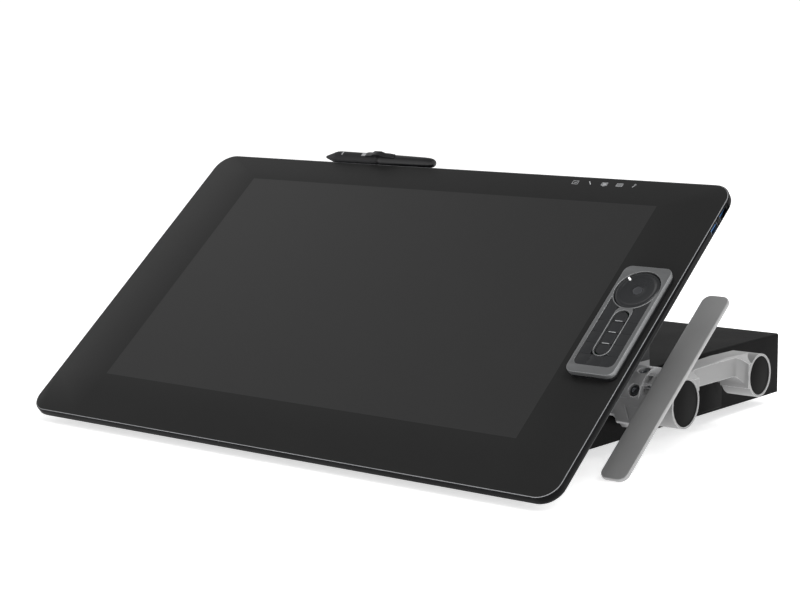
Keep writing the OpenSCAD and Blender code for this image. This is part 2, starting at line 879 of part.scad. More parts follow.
module key_centre_1() { centre_key(1); }
module key_centre_2() { centre_key(2); }
module key_centre_3() { centre_key(3); }
module key_centre_4() { centre_key(4); }
module key_left_1() { side_key(1, -1); }
module key_left_2() { side_key(2, -1); }
module key_left_3() { side_key(3, -1); }
module key_left_4() { side_key(4, -1); }
module key_right_1() { side_key(1, 1); }
module key_right_2() { side_key(2, 1); }
module key_right_3() { side_key(3, 1); }
module key_right_4() { side_key(4, 1); }
module key_bottom_1() { bottom_key(1); }
module key_bottom_2() { bottom_key(2); }
module key_bottom_3() { bottom_key(3); }

// ---------- pen ----------
// Radius and distance from the tip
pen_seam = 78;
pen_core = 4.3;
grip_outline = [
    [1.1, 1.8], [2.2, 2.2], [6.5, 15.5], [7.2, 19], [7.4, 25], [7.1, 50], [7.2, 66],
    [7.1, pen_seam], [pen_core + 0.05, pen_seam], [pen_core + 0.05, 20], [1.1, 14],
];
barrel_outline = [
    [0, pen_seam - 8], [pen_core, pen_seam - 8], [pen_core, pen_seam], [7.1, pen_seam],
    [6.7, 98], [6.3, 125], [5.8, pen_len - 11], [5.2, pen_len - 5], [4, pen_len - 1.4],
    [2.2, pen_len], [0, pen_len],
];
switch_from = 62;
switch_to = 102;
switch_w = 6;
switch_low = 5.3;
hump_from = 71;
hump_to = 87.5;
rock_z = 76;
rock_r = 5.9;
rock_pin_r = 0.6;

module switch_pocket() {
    box_from([-12, -switch_w / 2 - 0.25, switch_from - 0.4],
             [-switch_low + 0.9, switch_w / 2 + 0.25, switch_to + 0.4]);
}

module rocker_pin(r, len) {
    // Across the pen, through the rocker's axis
    translate([-rock_r, len / 2, rock_z]) rotate([90, 0, 0]) cylinder(r = r, h = len, $fn = 32);
}

module pen_grip() {
    color("#1b1b1d") on_pen() difference() {
        rotate_extrude() polygon(grip_outline);
        switch_pocket();
        rocker_pin(rock_pin_r + run_gap, switch_w + 1.6);
    }
}

module pen_barrel() {
    color("#202123") on_pen() difference() {
        rotate_extrude() polygon(barrel_outline);
        switch_pocket();
    }
}

module pen_nib() {
    color("#0c0c0d") on_pen() {
        cylinder(r1 = 0.5, r2 = 1, h = 1.4, $fn = 24);
        translate([0, 0, 1.4 - eps]) cylinder(r = 1, h = 10, $fn = 24);
    }
}

module pen_side_switch() {
    // Rocker blade with a raised hump for the finger; it faces out of the glass
    color("#2a2b2d") on_pen() {
        rocker_pin(rock_pin_r, switch_w + 1.4);
        rotate([90, 0, 0]) translate([0, 0, -switch_w / 2]) linear_extrude(switch_w) polygon([
            [-switch_low, switch_from], [-switch_low, switch_to], [-7.4, switch_to],
            [-8.4, switch_to - 6], [-8.6, hump_to + 2], [-11, hump_to - 3],
            [-11, hump_from + 4], [-8.8, hump_from], [-8.6, switch_from + 4],
            [-7.8, switch_from]]);
    }
}

cover_glass();
mid_frame();
rear_cover();
lcd_panel();
sensor_board();
main_board();
power_button();
usb_ports();
port_panel();
display_screws();
rear_feet();
pen_tray();
mount_plate();
tilt_bracket();
side_plates();
hinge_clamps();
clamp_screws();
turntable();
tilt_shafts();
lever_pins();
release_lever_right();
release_lever_left();
arm_right();
arm_left();
arm_end_discs();
arm_bushes();
brake_discs();
base_cover();
base_plate();
counterweight();
base_feet();
base_screws();
side_lugs();
lift_axles();
lift_springs();
remote_case();
remote_frame();
touch_ring();
ring_button();
remote_board();
remote_battery();
key_centre_1();
key_centre_2();
key_centre_3();
key_centre_4();
key_left_1();
key_left_2();
key_left_3();
key_left_4();
key_right_1();
key_right_2();
key_right_3();
key_right_4();
key_bottom_1();
key_bottom_2();
key_bottom_3();
pen_grip();
pen_barrel();
pen_nib();
pen_side_switch();
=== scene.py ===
# %% [markdown]
# # A pen display on its easel stand
# The CAD model gives every part its size and place. This lesson dresses it: hard edges get their
# small rounds, pieces whose shape the CAD keeps plain are modelled again, and every surface gets
# a finish mixed from nodes.
# %% Load the frame
import json
import math
import bpy
from mathutils import Matrix, Vector


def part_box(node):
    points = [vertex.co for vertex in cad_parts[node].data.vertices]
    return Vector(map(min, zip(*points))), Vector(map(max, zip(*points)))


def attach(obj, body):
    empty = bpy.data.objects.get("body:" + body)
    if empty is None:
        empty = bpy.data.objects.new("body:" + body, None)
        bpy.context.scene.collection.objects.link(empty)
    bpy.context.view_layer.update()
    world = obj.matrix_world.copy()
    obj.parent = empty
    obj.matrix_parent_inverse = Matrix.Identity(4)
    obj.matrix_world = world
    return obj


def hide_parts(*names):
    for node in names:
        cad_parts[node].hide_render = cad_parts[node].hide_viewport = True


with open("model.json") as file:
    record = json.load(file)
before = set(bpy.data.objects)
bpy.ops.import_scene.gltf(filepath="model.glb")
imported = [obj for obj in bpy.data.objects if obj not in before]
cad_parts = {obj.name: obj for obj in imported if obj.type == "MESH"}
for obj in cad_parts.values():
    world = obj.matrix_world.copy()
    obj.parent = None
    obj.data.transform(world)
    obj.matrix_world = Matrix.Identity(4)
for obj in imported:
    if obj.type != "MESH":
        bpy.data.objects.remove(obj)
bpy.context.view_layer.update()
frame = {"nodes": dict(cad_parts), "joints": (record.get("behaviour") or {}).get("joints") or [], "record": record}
MM = 0.001
body_of = {n: b for b, nodes in frame["record"]["behaviour"]["bodies"].items() for n in nodes}
slot_of = {row["node"]: row["material_slot"] for row in frame["record"]["subparts"]}

# %% [markdown]
# The display leans back, so its parts are easiest to describe in its own axes: across the glass,
# up its slope, and out of it. The turntable's axis points straight out of the glass, and the rest
# follows from it. The lower edge of the side wall and the front of the glass give the origin.
# %% Axes of the display
joints = {j["name"]: j for j in frame["joints"]}
ACROSS = Vector((1, 0, 0))
OUT = Vector(joints["display_turn"]["axis"]).normalized()
UP = OUT.cross(ACROSS)


def reach(node, direction):
    """Least and greatest distance of a CAD node along a direction, in metres."""
    values = [v.co.dot(direction) for v in frame["nodes"][node].data.vertices]
    return min(values), max(values)


GLASS = Matrix((ACROSS, UP, OUT)).transposed().to_4x4()
GLASS.translation = UP * reach("mid_frame", UP)[0] + OUT * reach("cover_glass", OUT)[1]
FROM_GLASS = GLASS.inverted()


def span(node):
    """Lowest and highest corner of a CAD node in the display's own axes, in millimetres."""
    points = [FROM_GLASS @ v.co / MM for v in frame["nodes"][node].data.vertices]
    low = Vector([min(p[i] for p in points) for i in range(3)])
    high = Vector([max(p[i] for p in points) for i in range(3)])
    return low, high


glass_low, glass_high = span("cover_glass")
print("glass spans", glass_low, glass_high)

# %% [markdown]
# The camera stands to the right and a little above the table, far off with a long lens, so that
# the upright lines stay nearly parallel.
# %% Camera
CAMERA_AT = Vector((1.3273, -1.7008, 0.4430))
CAMERA_AZIMUTH = 38.691
CAMERA_ELEVATION = 8.137
CAMERA_ROLL = -0.282


def aim(azimuth, elevation, roll):
    """Rotation of a camera that looks from this azimuth and elevation towards the object."""
    az, el, ro = (math.radians(a) for a in (azimuth, elevation, roll))
    back = Vector((math.sin(az) * math.cos(el), -math.cos(az) * math.cos(el), math.sin(el)))
    right = Vector((math.cos(az), math.sin(az), 0))
    up = back.cross(right)
    level = Matrix((right, up, back)).transposed()
    return level @ Matrix.Rotation(ro, 3, "Z")


camera_data = bpy.data.cameras.new("camera")
camera_data.sensor_width = 36
camera_data.lens = 92.66
camera_data.shift_x = -0.0211
camera_data.shift_y = -0.0115
camera_data.clip_start = 0.01
camera = bpy.data.objects.new("camera", camera_data)
camera.matrix_world = Matrix.LocRotScale(
    CAMERA_AT, aim(CAMERA_AZIMUTH, CAMERA_ELEVATION, CAMERA_ROLL), None)
bpy.context.scene.collection.objects.link(camera)
bpy.context.scene.camera = camera

# %% [markdown]
# A black screen shows whatever surrounds it, so the studio decides its look. The room is white
# at eye level and greyer overhead, where the leaning glass looks, so that the floor and backdrop
# stay pale while the glass stays dark. Three large softboxes do the modelling.
# %% Studio
bpy.context.scene.view_settings.view_transform = "Standard"
world = bpy.data.worlds.new("studio")
world.use_nodes = True
bpy.context.scene.world = world
room = world.node_tree
direction = room.nodes.new("ShaderNodeTexCoord")
height = room.nodes.new("ShaderNodeSeparateXYZ")
room.links.new(direction.outputs["Generated"], height.inputs[0])
dimming = room.nodes.new("ShaderNodeMapRange")
dimming.interpolation_type = "SMOOTHSTEP"
for socket, value in (("From Min", 0.12), ("From Max", 0.75), ("To Min", 1.0), ("To Max", 0.34)):
    dimming.inputs[socket].default_value = value
room.links.new(height.outputs["Z"], dimming.inputs["Value"])
room.links.new(dimming.outputs["Result"], room.nodes["Background"].inputs["Color"])
room.nodes["Background"].inputs["Strength"].default_value = 1.05


def softbox(name, place, aim_at, size, power):
    """A large soft area light."""
    data = bpy.data.lights.new(name, "AREA")
    data.shape = "RECTANGLE"
    data.size, data.size_y = size
    data.energy = power
    lamp = bpy.data.objects.new(name, data)
    look = Vector(aim_at) - Vector(place)
    lamp.matrix_world = Matrix.LocRotScale(Vector(place), look.to_track_quat("-Z", "Y"), None)
    bpy.context.scene.collection.objects.link(lamp)


softbox("key_light", (1.7, -0.9, 2.3), (0.1, 0, 0.1), (1.5, 1.5), 34)
softbox("back_light", (0.6, 2.3, 1.9), (0, 0, 0.1), (2.2, 1.0), 24)
softbox("sheen_light", (-2.6, 0.5, 2.4), (0, 0, 0.2), (1.2, 1.2), 2.4)

# %% [markdown]
# Two effects come back in many finishes, so each is a node group. Fine grain is the texture of
# moulded plastic, powder coat or bead-blasted metal. The painted edge highlight lifts the colour
# where a rounded edge turns, standing in for the light such an edge catches. The Bevel node finds
# these edges by comparing its blended normal with the true one, and a noise makes the painted
# highlight uneven.
# %% Shared node groups


def new_group(name, inputs, outputs):
    """A shader node group with named number and vector sockets."""
    group = bpy.data.node_groups.new(name, "ShaderNodeTree")
    for socket, kind, value in inputs:
        item = group.interface.new_socket(socket, in_out="INPUT", socket_type=kind)
        if value is not None:
            item.default_value = value
    for socket, kind in outputs:
        group.interface.new_socket(socket, in_out="OUTPUT", socket_type=kind)
    return group, group.nodes.new("NodeGroupInput"), group.nodes.new("NodeGroupOutput")


def math_node(tree, operation, *values):
    """A Math node; each value is a socket or a plain number."""
    node = tree.nodes.new("ShaderNodeMath")
    node.operation = operation
    for socket, value in zip(node.inputs, values):
        if isinstance(value, (int, float)):
            socket.default_value = value
        else:
            tree.links.new(value, socket)
    return node.outputs[0]


def noise_node(tree, vector, scale, detail):
    """A Noise Texture; scale is a socket or a plain number."""
    node = tree.nodes.new("ShaderNodeTexNoise")
    node.inputs["Detail"].default_value = detail
    tree.links.new(vector, node.inputs["Vector"])
    if isinstance(scale, (int, float)):
        node.inputs["Scale"].default_value = scale
    else:
        tree.links.new(scale, node.inputs["Scale"])
    return node.outputs["Fac"]


grain, grain_in, grain_out = new_group(
    "fine_grain",
    [("Vector", "NodeSocketVector", None), ("Scale", "NodeSocketFloat", 2500.0)],
    [("Height", "NodeSocketFloat"), ("Patches", "NodeSocketFloat")])
grain.links.new(noise_node(grain, grain_in.outputs["Vector"], grain_in.outputs["Scale"], 3.0),
                grain_out.inputs["Height"])
grain.links.new(noise_node(grain, grain_in.outputs["Vector"], 14.0, 4.0),
                grain_out.inputs["Patches"])

# Painted highlight: this group's mask marks where a lighter colour is painted along turning edges.
edges, edges_in, edges_out = new_group(
    "painted_edge_highlight",
    [("Vector", "NodeSocketVector", None), ("Amount", "NodeSocketFloat", 1.0)],
    [("Mask", "NodeSocketFloat")])
edge_bevel = edges.nodes.new("ShaderNodeBevel")
edge_bevel.samples = 4
edge_bevel.inputs["Radius"].default_value = 0.001
edge_normal = edges.nodes.new("ShaderNodeNewGeometry")
edge_dot = edges.nodes.new("ShaderNodeVectorMath")
edge_dot.operation = "DOT_PRODUCT"
edges.links.new(edge_bevel.outputs["Normal"], edge_dot.inputs[0])
edges.links.new(edge_normal.outputs["Normal"], edge_dot.inputs[1])
turned = math_node(edges, "MULTIPLY", math_node(edges, "SUBTRACT", 1.0, edge_dot.outputs["Value"]),
                   6.0)
broken = math_node(edges, "ADD", noise_node(edges, edges_in.outputs["Vector"], 260.0, 3.0), 0.35)
turned = math_node(edges, "MULTIPLY", turned, broken)
turned = math_node(edges, "MULTIPLY", turned, edges_in.outputs["Amount"])
edges.links.new(math_node(edges, "MINIMUM", turned, 1.0), edges_out.inputs["Mask"])
print("node groups", [g.name for g in bpy.data.node_groups])

# %% [markdown]
# Every solid finish on this machine is one recipe: a base colour that drifts a little in broad
# patches, a tiny grain in the bump, a roughness that drifts with the patches, and in most a
# painted highlight, a lighter colour mixed in along the edges in place of the light they catch.
# The plain values go straight onto the shader.
# %% Recipe for a finish


def hexcolor(code):
    """A colour written as rrggbb, made linear for the shader."""
    parts = [int(code[i:i + 2], 16) / 255 for i in (0, 2, 4)]
    return [c / 12.92 if c <= 0.04045 else ((c + 0.055) / 1.055) ** 2.4 for c in parts] + [1]


def mix_color(tree, factor, a, b):
    """Mixes two colours; a and b are colours or sockets."""
    node = tree.nodes.new("ShaderNodeMix")
    node.data_type = "RGBA"
    tree.links.new(factor, node.inputs[0])
    for socket, value in ((node.inputs[6], a), (node.inputs[7], b)):
        if isinstance(value, (list, tuple)):
            socket.default_value = value
        else:
            tree.links.new(value, socket)
    return node.outputs[2]


def finish(name, dark, light, rough, metal=0.0, grain_scale=2500.0, grain_depth=0.00002,
           edge=None, highlight_amount=0.5, specular=0.4, brushed=None):
    """A material; dark and light are the ends of its colour drift, rough likewise."""
    material = bpy.data.materials.new(name)
    material.use_nodes = True
    tree = material.node_tree
    shader = tree.nodes["Principled BSDF"]
    place = tree.nodes.new("ShaderNodeTexCoord").outputs["Object"]
    if brushed:
        stretch = tree.nodes.new("ShaderNodeMapping")
        stretch.inputs["Scale"].default_value = brushed
        tree.links.new(place, stretch.inputs["Vector"])
        place = stretch.outputs["Vector"]
    texture = tree.nodes.new("ShaderNodeGroup")
    texture.node_tree = grain
    texture.inputs["Scale"].default_value = grain_scale
    tree.links.new(place, texture.inputs["Vector"])
    color = mix_color(tree, texture.outputs["Patches"], hexcolor(dark), hexcolor(light))
    # Painted highlight: the edge colour is mixed in where the Bevel node finds a turning edge.
    if edge:
        highlight_mask_node = tree.nodes.new("ShaderNodeGroup")
        highlight_mask_node.node_tree = edges
        highlight_mask_node.inputs["Amount"].default_value = highlight_amount
        tree.links.new(place, highlight_mask_node.inputs["Vector"])
        color = mix_color(tree, highlight_mask_node.outputs["Mask"], color, hexcolor(edge))
    tree.links.new(color, shader.inputs["Base Color"])
    drift = tree.nodes.new("ShaderNodeMapRange")
    for socket, value in (("From Min", 0.3), ("From Max", 0.7),
                          ("To Min", rough[0]), ("To Max", rough[1])):
        drift.inputs[socket].default_value = value
    tree.links.new(texture.outputs["Patches"], drift.inputs["Value"])
    tree.links.new(drift.outputs["Result"], shader.inputs["Roughness"])
    bump = tree.nodes.new("ShaderNodeBump")
    bump.inputs["Strength"].default_value = 1.0
    bump.inputs["Distance"].default_value = grain_depth
    tree.links.new(texture.outputs["Height"], bump.inputs["Height"])
    tree.links.new(bump.outputs["Normal"], shader.inputs["Normal"])
    shader.inputs["Metallic"].default_value = metal
    shader.inputs["Specular IOR Level"].default_value = specular
    return material


# The edge colour of each finish is a painted highlight along its rounded edges.
FINISHES = {
    "screen_glass": finish("bezel_glass", "222222", "242424", (0.4, 0.415), grain_scale=4000,
                           grain_depth=0.000006, edge="9a9c9f", highlight_amount=0.7, specular=0.15),
    "frame_black": finish("frame_black", "060607", "09090a", (0.4, 0.5), edge="2c2d30",
                          specular=0.06),
    "cover_black": finish("cover_black", "161719", "1d1e20", (0.5, 0.62), grain_scale=1800,
                          grain_depth=0.00005, edge="34353a"),
    "panel_black": finish("panel_black", "08080a", "0c0c0e", (0.2, 0.3)),
    "circuit_green": finish("circuit_green", "10442a", "175536", (0.35, 0.5), edge="9a8a4a"),
    "socket_steel": finish("socket_steel", "8a8c90", "a2a4a8", (0.28, 0.4), metal=1.0),
    "screw_steel": finish("screw_steel", "7a7c80", "94969a", (0.28, 0.4), metal=1.0,
                          edge="d0d2d5"),
    "rubber_black": finish("rubber_black", "121212", "1a1a1a", (0.75, 0.85), grain_scale=1500,
                           grain_depth=0.00006),
    "plate_steel": finish("plate_steel", "3a3c40", "46484c", (0.4, 0.55), metal=0.6,
                          edge="8a8c90"),
    "bracket_aluminium": finish("bracket_aluminium", "9a9a9b", "a6a6a7", (0.42, 0.54), metal=0.35,
                                grain_scale=2200, grain_depth=0.00005, edge="e4e5e6"),
    "shaft_steel": finish("shaft_steel", "7c7e82", "96989c", (0.2, 0.3), metal=1.0,
                          brushed=(0.05, 1.0, 1.0)),
    "lever_grey": finish("lever_grey", "9b9b9b", "a8a8a8", (0.34, 0.42), metal=0.4,
                         grain_scale=2600, grain_depth=0.00003, edge="d4d5d6"),
    "arm_grey": finish("arm_grey", "858585", "8e8e8e", (0.42, 0.54), metal=0.3,
                       grain_scale=2200, grain_depth=0.00005, edge="eeeeee"),
    "disc_black": finish("disc_black", "080808", "0b0b0b", (0.5, 0.62), edge="2a2b2d",
                         specular=0.05),
    "bush_bronze": finish("bush_bronze", "8a6238", "a67a48", (0.35, 0.5), metal=1.0),
    "base_black": finish("base_black", "090909", "0b0b0b", (0.54, 0.6), grain_scale=1500,
                         grain_depth=0.00006, edge="2a2b2d", specular=0.04),
    "remote_black": finish("remote_black", "0c0c0e", "121214", (0.4, 0.55)),
    "remote_metal": finish("remote_metal", "747576", "808182", (0.3, 0.4), metal=0.6,
                           grain_scale=3000, grain_depth=0.00002, edge="dfe0e1"),
    "key_black": finish("key_black", "1c1d1f", "242527", (0.5, 0.62), edge="3a3b3e"),
    "ring_black": finish("ring_black", "1e1f21", "262729", (0.24, 0.36), edge="4a4b4e"),
    "battery_foil": finish("battery_foil", "9a9ca0", "b0b2b5", (0.3, 0.45), metal=0.8),
    "pen_rubber": finish("pen_rubber", "111113", "17171a", (0.5, 0.62)),
    "pen_black": finish("pen_black", "141416", "1a1a1c", (0.26, 0.38)),
}
picture_glass = finish("picture_glass", "262626", "282828", (0.38, 0.395), grain_scale=4000,
                       grain_depth=0.000006, specular=0.3)
# Painted highlight: the light grey of the glass chamfer stands in for the light its edge catches.
chamfer_highlight_paint = finish("chamfer_highlight_paint", "8c8d8f", "9a9b9d", (0.35, 0.45), specular=0.4)
icon_grey = finish("icon_grey", "9a9b9d", "b4b5b7", (0.4, 0.5))
socket_blue = finish("socket_blue", "1c5d9c", "2468a8", (0.35, 0.45), edge="6ba0d0")
button_grey = finish("button_grey", "343538", "3d3e41", (0.3, 0.42), edge="5a5b5e")
# Painted highlight: a light silver for the short pen arcs where a glint falls.
glint_silver = finish("glint_silver", "b9babc", "cfd0d2", (0.25, 0.35), metal=0.7)
lamp_white = bpy.data.materials.new("lamp_white")
lamp_white.use_nodes = True
lamp_shader = lamp_white.node_tree.nodes["Principled BSDF"]
lamp_shader.inputs["Base Color"].default_value = (0.9, 0.9, 0.9, 1)
lamp_shader.inputs["Emission Color"].default_value = (1, 1, 1, 1)
lamp_shader.inputs["Emission Strength"].default_value = 2.5
for name, node in frame["nodes"].items():
    node.data.materials.clear()
    node.data.materials.append(FINISHES[slot_of[name]])
print(len(FINISHES), "finishes on", len(frame["nodes"]), "CAD nodes")

# %% [markdown]
# Real edges are never sharp: a cast edge has a round of half a millimetre or more, a moulded one
# less, and that thin round is what draws the light lines on a dark object. The CAD nodes are
# loose triangles, so each is copied, merged into clean faces, and its sharp edges are bevelled.
# %% Rounding the edges of CAD parts


def pick(obj):
    """Makes one object the only selected and active one."""
    if bpy.context.object and bpy.context.object.mode != "OBJECT":
        bpy.ops.object.mode_set(mode="OBJECT")
    bpy.ops.object.select_all(action="DESELECT")
    obj.select_set(True)
    bpy.context.view_layer.objects.active = obj


def settle(piece, node, material=None, body=None):
    """Says what a finished piece rides on and which slot it takes its finish from."""
    if material is None:
        material = FINISHES[slot_of[node]]
    if not piece.data.materials:
        piece.data.materials.append(material)
    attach(piece, body or body_of[node])
    return piece


def sharp_edges(obj, angle, test):
    """Selects the edges that turn by more than an angle and whose middle passes a test."""
    bpy.ops.mesh.select_all(action="DESELECT")
    bpy.ops.mesh.select_mode(type="EDGE")
    bpy.ops.mesh.edges_select_sharp(sharpness=math.radians(angle))
    bpy.ops.object.mode_set(mode="OBJECT")
    mesh = obj.data
    for edge in mesh.edges:
        if edge.select:
            middle = (mesh.vertices[edge.vertices[0]].co + mesh.vertices[edge.vertices[1]].co) / 2
            edge.select = test(FROM_GLASS @ middle / MM, middle / MM)
    kept = sum(edge.select for edge in mesh.edges)
    bpy.ops.object.mode_set(mode="EDIT")
    return kept


def rounded(node, width, segments=2, angle=32, test=lambda local, place: True,
            clamp=False):
    """A copy of a CAD node whose sharp edges are bevelled by a width in millimetres.

    The width may also be a list of (width, segments, test), worked through in turn.
    """
    piece = bpy.data.objects.new(node + "_rounded", frame["nodes"][node].data.copy())
    bpy.context.scene.collection.objects.link(piece)
    pick(piece)
    bpy.ops.object.mode_set(mode="EDIT")
    bpy.ops.mesh.select_all(action="SELECT")
    bpy.ops.mesh.remove_doubles(threshold=0.000005)
    bpy.ops.mesh.dissolve_limited(angle_limit=math.radians(0.5))
    widths = width if isinstance(width, list) else [(width, segments, test)]
    for size, steps, chosen in widths:
        if sharp_edges(piece, angle, chosen):
            bpy.ops.mesh.bevel(offset=size * MM, segments=steps, affect="EDGES",
                               clamp_overlap=clamp)
    bpy.ops.object.mode_set(mode="OBJECT")
    bpy.ops.object.shade_smooth_by_angle(angle=math.radians(30))
    settle(piece, node)
    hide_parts(node)
    return piece


# %% [markdown]
# The display is a glass sheet let into a thin frame. Its edge is ground to a fine chamfer, whose
# faces get a light grey, a painted highlight for the light line the chamfer catches all round. The
# black border is printed round a window, so the sheet is cut along the window's four sides and the
# middle faces get the slightly lighter glass. The border is deeper along the lower edge, where the
# panel keeps its drivers.
# %% Cover glass and frame
PICTURE_MARGIN = 1.4
PICTURE_LOW_MARGIN = 7.0
panel_low, panel_high = span("lcd_panel")
window = [panel_low.x + PICTURE_MARGIN, panel_high.x - PICTURE_MARGIN,
          panel_low.y + PICTURE_LOW_MARGIN, panel_high.y - PICTURE_MARGIN]
CHAMFER = 0.5
glass = rounded("cover_glass", [(CHAMFER, 2, lambda local, place: local.z > -0.1)])
glass.data.materials.append(picture_glass)
glass.data.materials.append(chamfer_highlight_paint)
bpy.ops.object.mode_set(mode="EDIT")
for place, normal in ((window[0], ACROSS), (window[1], ACROSS), (window[2], UP), (window[3], UP)):
    bpy.ops.mesh.select_all(action="SELECT")
    bpy.ops.mesh.bisect(plane_co=GLASS @ ((place * MM) * (FROM_GLASS.to_3x3() @ normal)),
                        plane_no=normal)
bpy.ops.object.mode_set(mode="OBJECT")
for face in glass.data.polygons:
    centre = FROM_GLASS @ face.center / MM
    inside = window[0] < centre.x < window[1] and window[2] < centre.y < window[3]
    lean = abs(face.normal.dot(OUT))
    # The chamfer faces take the painted highlight.
    if centre.z > -CHAMFER and 0.1 < lean < 0.99:
        face.material_index = 2
    elif inside and centre.z > -CHAMFER:
        face.material_index = 1
    else:
        face.material_index = 0
print("window", window)
print("chamfer faces", sum(face.material_index == 2 for face in glass.data.polygons))

rounded("mid_frame", 0.3)
rounded("rear_cover", 0.6, angle=24)
rounded("pen_tray", 0.8)
rounded("power_button", 0.3)
rounded("rear_feet", 0.6)
rounded("mount_plate", 0.5)
rounded("port_panel", 0.25)

# %% [markdown]
# The stand is bead-blasted die casting. Castings have generous rounds on their outer corners,
# which may not run into one another on the arms, so their bevels are clamped. The release levers
# are flat bars with a wide soft round all along their outline, but none on their hinges.
# The side plates run up behind the display, and their upper ends are painted black like its back.
# %% Stand
PAINT_FROM = joints["display_tilt"]["pos_m"][2] + 0.033
plates = rounded("side_plates", 0.6)
plates.data.materials.append(FINISHES["cover_black"])
bpy.ops.object.mode_set(mode="EDIT")
bpy.ops.mesh.select_all(action="SELECT")
bpy.ops.mesh.bisect(plane_co=(0, 0, PAINT_FROM), plane_no=(0, 0, 1))
bpy.ops.object.mode_set(mode="OBJECT")
for face in plates.data.polygons:
    face.material_index = int(face.center.z > PAINT_FROM)
for node, width in (("hinge_clamps", 0.7), ("tilt_bracket", 0.8),
                    ("turntable", 0.4), ("side_lugs", 1.0), ("clamp_screws", 0.25),
                    ("arm_end_discs", 0.3), ("base_feet", 0.8), ("base_plate", 0.3),
                    ("display_screws", 0.2)):
    rounded(node, width)
for node in ("arm_right", "arm_left"):
    rounded(node, 0.7, segments=3, clamp=True)
PADDLE_WIDTH = 29.8
HINGE_V = (214, 227)
HINGE_N = (-98.2, -93.4)
for node in ("release_lever_right", "release_lever_left"):
    low, high = span(node)
    paddle_in = max(abs(low.x), abs(high.x)) - PADDLE_WIDTH
    rounded(node, 1.3, segments=4,
            test=lambda local, place: abs(local.x) > paddle_in and not (
                abs(local.x) < paddle_in + 0.5 and HINGE_V[0] < local.y < HINGE_V[1]
                and HINGE_N[0] < local.z < HINGE_N[1]))
base_low, base_high = (Vector(corner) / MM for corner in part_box("base_cover"))
rounded("base_cover", [
    (2.2, 4, lambda local, place: place.z > base_high.z - 0.2),
    (0.6, 2, lambda local, place: place.z < base_low.z + 0.2 and abs(place.x) > base_high.x - 2)])

# %% [markdown]
# The key remote is a satin metal frame over a black case, with soft keys flush in it. The keys
# get wider rounds than the frame, so that their seams stay visible as thin dark lines.
# %% Remote keys and frame
rounded("remote_frame", 0.45, segments=3)
rounded("remote_case", 0.4)
for node in frame["nodes"]:
    if node.startswith("key_centre"):
        rounded(node, 0.9, segments=4)
    elif node.startswith("key_"):
        rounded(node, 0.22)

# %% [markdown]
# Round pieces are turned: a single point is extruded along the profile, and the line is spun
# about the axis. The axis point and the last row meet the first, so doubles are merged, and the
# normals are made to point outwards.
# %% Turning a profile


def turned_piece(name, profile, place, steps=96, angle=360.0):
    """A solid of revolution about Z; the profile is radius and height in millimetres."""
    bpy.ops.object.select_all(action="DESELECT")
    bpy.ops.mesh.primitive_plane_add(size=MM)
    piece = bpy.context.object
    piece.name = name
    bpy.ops.object.mode_set(mode="EDIT")
    bpy.ops.mesh.select_mode(type="VERT")
    bpy.ops.mesh.select_all(action="SELECT")
    bpy.ops.mesh.merge(type="CENTER")
    here = Vector((0, 0, 0))
    for index, (radius, height) in enumerate(profile):
        there = Vector((radius, 0, height)) * MM
        if index == 0:
            bpy.ops.transform.translate(value=there - here)
        else:
            bpy.ops.mesh.extrude_region_move(TRANSFORM_OT_translate={"value": there - here})
        here = there
    bpy.ops.mesh.select_all(action="SELECT")
    bpy.ops.mesh.spin(steps=steps, angle=math.radians(angle), center=(0, 0, 0), axis=(0, 0, 1))
    bpy.ops.mesh.select_all(action="SELECT")
    bpy.ops.mesh.remove_doubles(threshold=0.000002)
    bpy.ops.mesh.normals_make_consistent(inside=False)
    bpy.ops.object.mode_set(mode="OBJECT")
    piece.data.transform(place)
    piece.data.update()
    bpy.ops.object.shade_smooth_by_angle(angle=math.radians(28))
    return piece


def on_glass(u, v, n):
    """Matrix that stands a piece on the glass at a place given in millimetres."""
    return GLASS @ Matrix.Translation(Vector((u, v, n)) * MM)


def block(name, low, high, bevel, place, segments=2):
    """A cube shaped to two corners in millimetres, with its edges bevelled."""
    bpy.ops.object.select_all(action="DESELECT")
    bpy.ops.mesh.primitive_cube_add(size=1)
    piece = bpy.context.object
    piece.name = name
    size = Vector(high) - Vector(low)
    middle = (Vector(high) + Vector(low)) / 2
    bpy.ops.object.mode_set(mode="EDIT")
    bpy.ops.mesh.select_all(action="SELECT")
    bpy.ops.transform.resize(value=size * MM)
    bpy.ops.transform.translate(value=middle * MM)
    if bevel:
        bpy.ops.mesh.select_mode(type="EDGE")
        bpy.ops.mesh.select_all(action="SELECT")
        bpy.ops.mesh.bevel(offset=bevel * MM, segments=segments, affect="EDGES")
    bpy.ops.object.mode_set(mode="OBJECT")
    piece.data.transform(place)
    piece.data.update()
    bpy.ops.object.shade_smooth_by_angle(angle=math.radians(40))
    return piece


# %% [markdown]
# The touch ring is a dial: a rounded ridge that a fingertip follows, a shallow dish inside it and
# a button in the middle. A turned profile gives the soft ridge that the CAD keeps square.
# %% Touch ring
ring_low, ring_high = span("touch_ring")
ring_u, ring_v = (ring_low.x + ring_high.x) / 2, (ring_low.y + ring_high.y) / 2
ring_r = (ring_high.x - ring_low.x) / 2
case_top = span("remote_frame")[1].z
dial = turned_piece("dial", [
    (5.15, 5.2), (ring_r, 5.2), (ring_r, case_top - 2.2), (ring_r - 0.5, case_top - 1.6),
    (ring_r - 1.3, case_top - 0.9), (ring_r - 2.2, case_top - 0.45),
    (ring_r - 3.2, case_top - 0.35), (ring_r - 4.2, case_top - 0.55),
    (ring_r - 5.1, case_top - 1.0), (ring_r - 5.8, case_top - 1.35),
    (ring_r - 7.0, case_top - 1.5), (10.0, case_top - 1.65), (5.6, case_top - 1.7),
    (5.15, case_top - 1.85), (5.15, 5.2)], on_glass(ring_u, ring_v, 0))
settle(dial, "touch_ring")
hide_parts("touch_ring")
button_low, button_high = span("ring_button")
